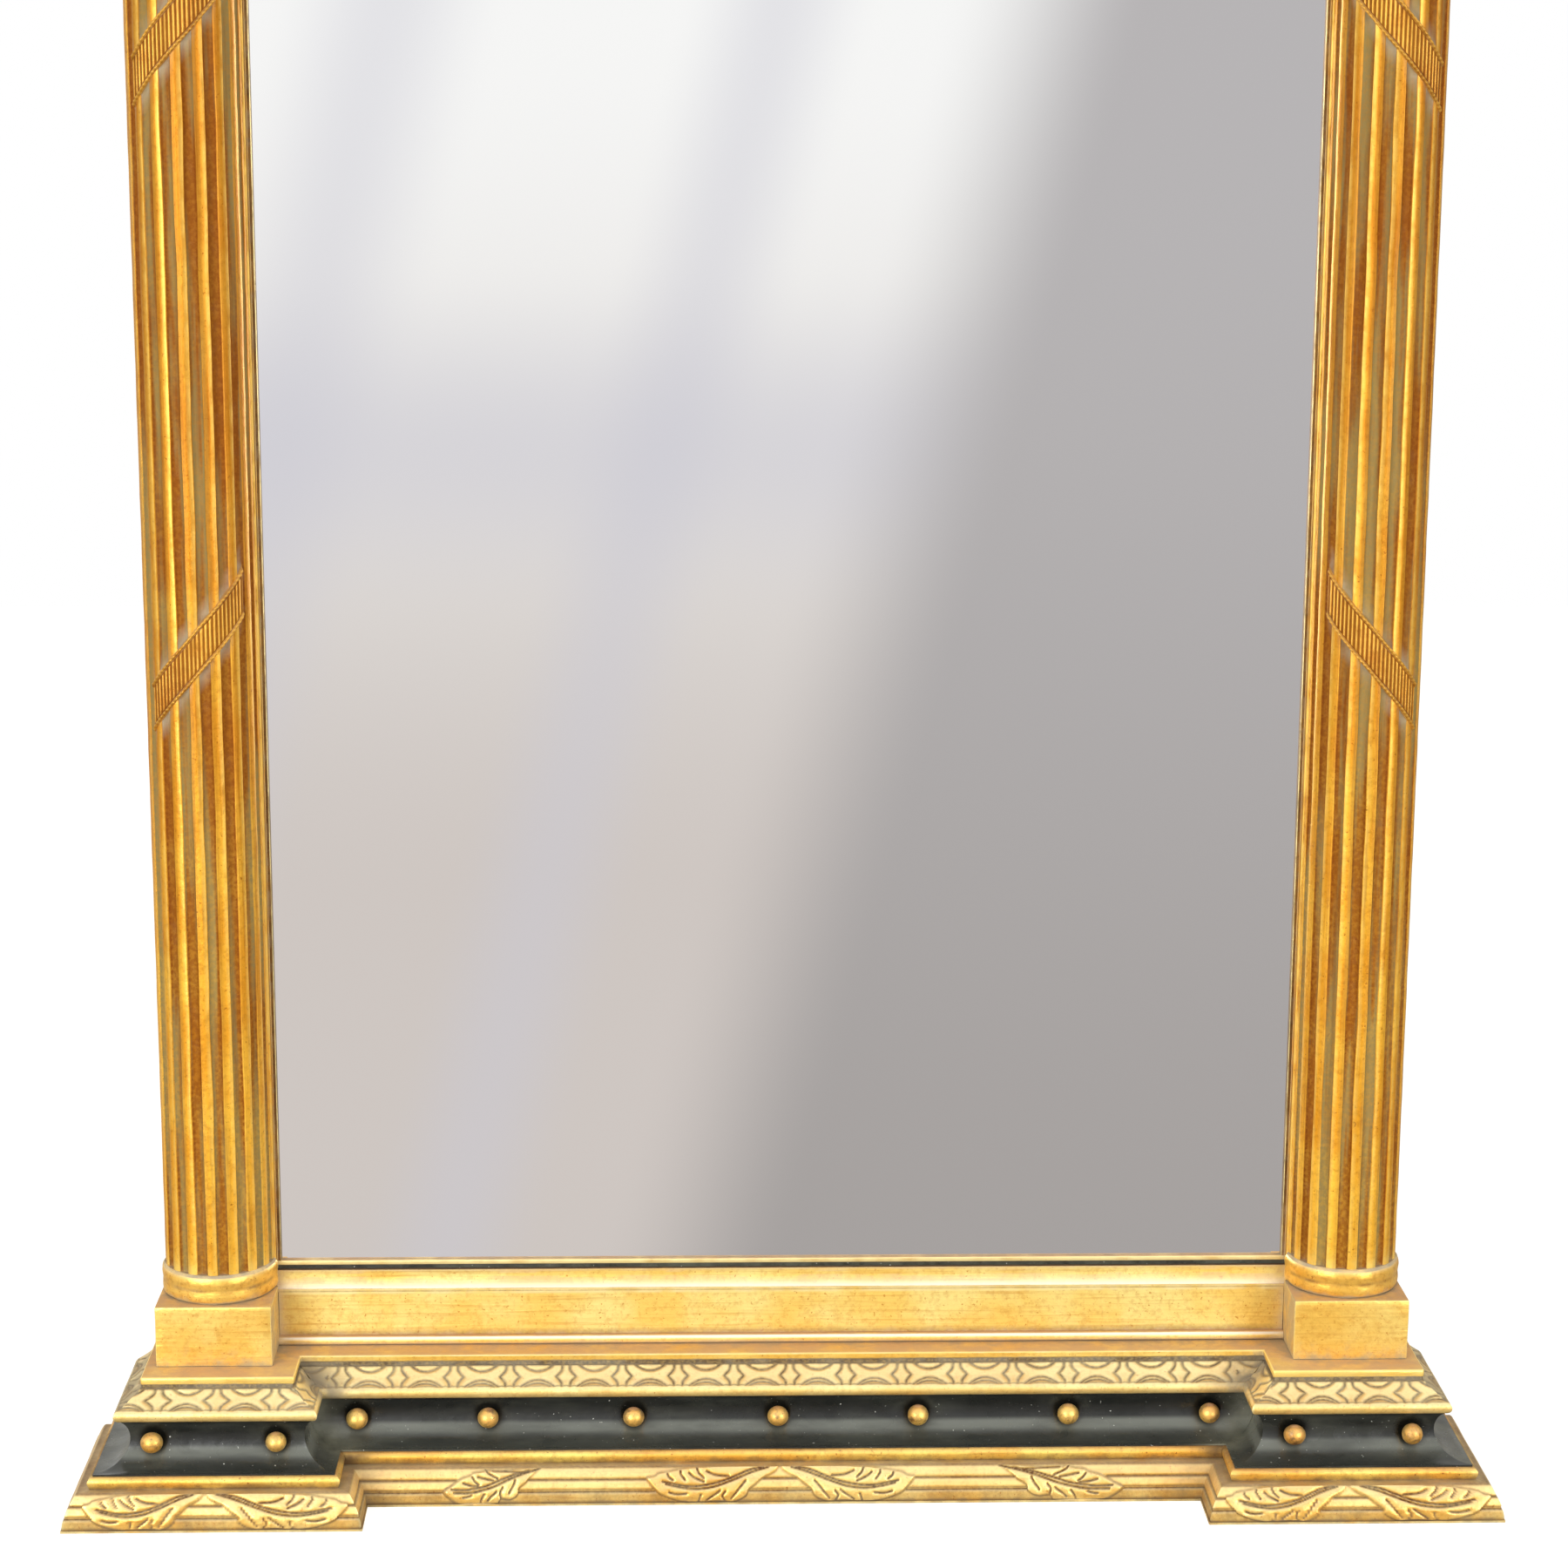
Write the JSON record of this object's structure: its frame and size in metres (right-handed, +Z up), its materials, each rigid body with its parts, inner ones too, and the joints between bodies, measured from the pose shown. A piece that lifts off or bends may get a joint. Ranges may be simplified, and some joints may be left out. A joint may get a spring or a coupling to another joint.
{
  "type": "pier mirror",
  "caption": "Tall gilt wall mirror between fluted half columns with winding ribbons, on a breakfront base with balls in a black hollow, under a matching cornice.",
  "frame": {"origin": "middle of the bounding box on the plane that the base stands on", "axes": "+Z up along the height, +Y towards the wall, +X to the right of someone who faces the glass"},
  "size_m": [1, 0.1418, 2.03],
  "materials": {
    "flat_gilt": "water gilding over red-brown clay, dusty on upward faces",
    "carved_gilt": "carved and gilded, grey dirt in the recesses",
    "column_gilt": "gilded ridges, grey-green worn flutes",
    "ribbon_gilt": "gilded, fine upright lines",
    "slip_gilt": "pale gilding",
    "ball_gilt": "burnished gilding, spotted",
    "ebonised": "ebonised, softly polished, dusty",
    "frame_pine": "old pine, size-stained",
    "backboard_pine": "planed pine boards, dusty",
    "mirror_plate": "silvered plate, slightly greyed",
    "hanger_brass": "aged brass",
    "steel_screw": "dull steel"
  },
  "bodies": {
    "frame": {"backboards": "backboard_pine", "base_balls": "ball_gilt", "base_bead": "flat_gilt", "base_core": "frame_pine", "base_hollow_centre": "ebonised", "base_hollow_left": "ebonised", "base_hollow_right": "ebonised", "base_lattice_centre": "carved_gilt", "base_lattice_left": "carved_gilt", "base_lattice_right": "carved_gilt", "base_leaf_moulding_centre": "carved_gilt", "base_leaf_moulding_left": "carved_gilt", "base_leaf_moulding_right": "carved_gilt", "base_ledge": "flat_gilt", "base_outer_board": "frame_pine", "board_nails": "steel_screw", "bottom_cove": "flat_gilt", "bottom_fascia": "flat_gilt", "bottom_rail": "frame_pine", "bottom_slip": "slip_gilt", "capital_block_left": "flat_gilt", "capital_block_right": "flat_gilt", "capital_rings": "flat_gilt", "column_left": "column_gilt", "column_right": "column_gilt", "cornice_balls": "ball_gilt", "cornice_bead": "flat_gilt", "cornice_core": "frame_pine", "cornice_hollow_centre": "ebonised", "cornice_hollow_left": "ebonised", "cornice_hollow_right": "ebonised", "cornice_lattice_centre": "carved_gilt", "cornice_lattice_left": "carved_gilt", "cornice_lattice_right": "carved_gilt", "cornice_leaf_moulding_centre": "carved_gilt", "cornice_leaf_moulding_left": "carved_gilt", "cornice_leaf_moulding_right": "carved_gilt", "cornice_ledge": "flat_gilt", "cornice_outer_board": "frame_pine", "foot_rings": "flat_gilt", "hanger_screws": "steel_screw", "hanger_straps": "hanger_brass", "mirror_plate": "mirror_plate", "plinth_left": "flat_gilt", "plinth_right": "flat_gilt", "ribbons_left": "ribbon_gilt", "ribbons_right": "ribbon_gilt", "slip_left": "slip_gilt", "slip_right": "slip_gilt", "stile_left": "frame_pine", "stile_right": "frame_pine", "top_cove": "flat_gilt", "top_fascia": "flat_gilt", "top_rail": "frame_pine", "top_slip": "slip_gilt"},
    "left_ring": {"hanger_ring_left": "hanger_brass"},
    "right_ring": {"hanger_ring_right": "hanger_brass"}
  },
  "joints": [
    {"name": "left_ring_swing", "type": "hinge", "parent": "frame", "child": "left_ring", "pos_m": [-0.401, 0.0672, 1.48], "axis": [1, 0, 0], "range_deg": [0, 180]},
    {"name": "right_ring_swing", "type": "hinge", "parent": "frame", "child": "right_ring", "pos_m": [0.401, 0.0672, 1.48], "axis": [1, 0, 0], "range_deg": [0, 180]}
  ]
}
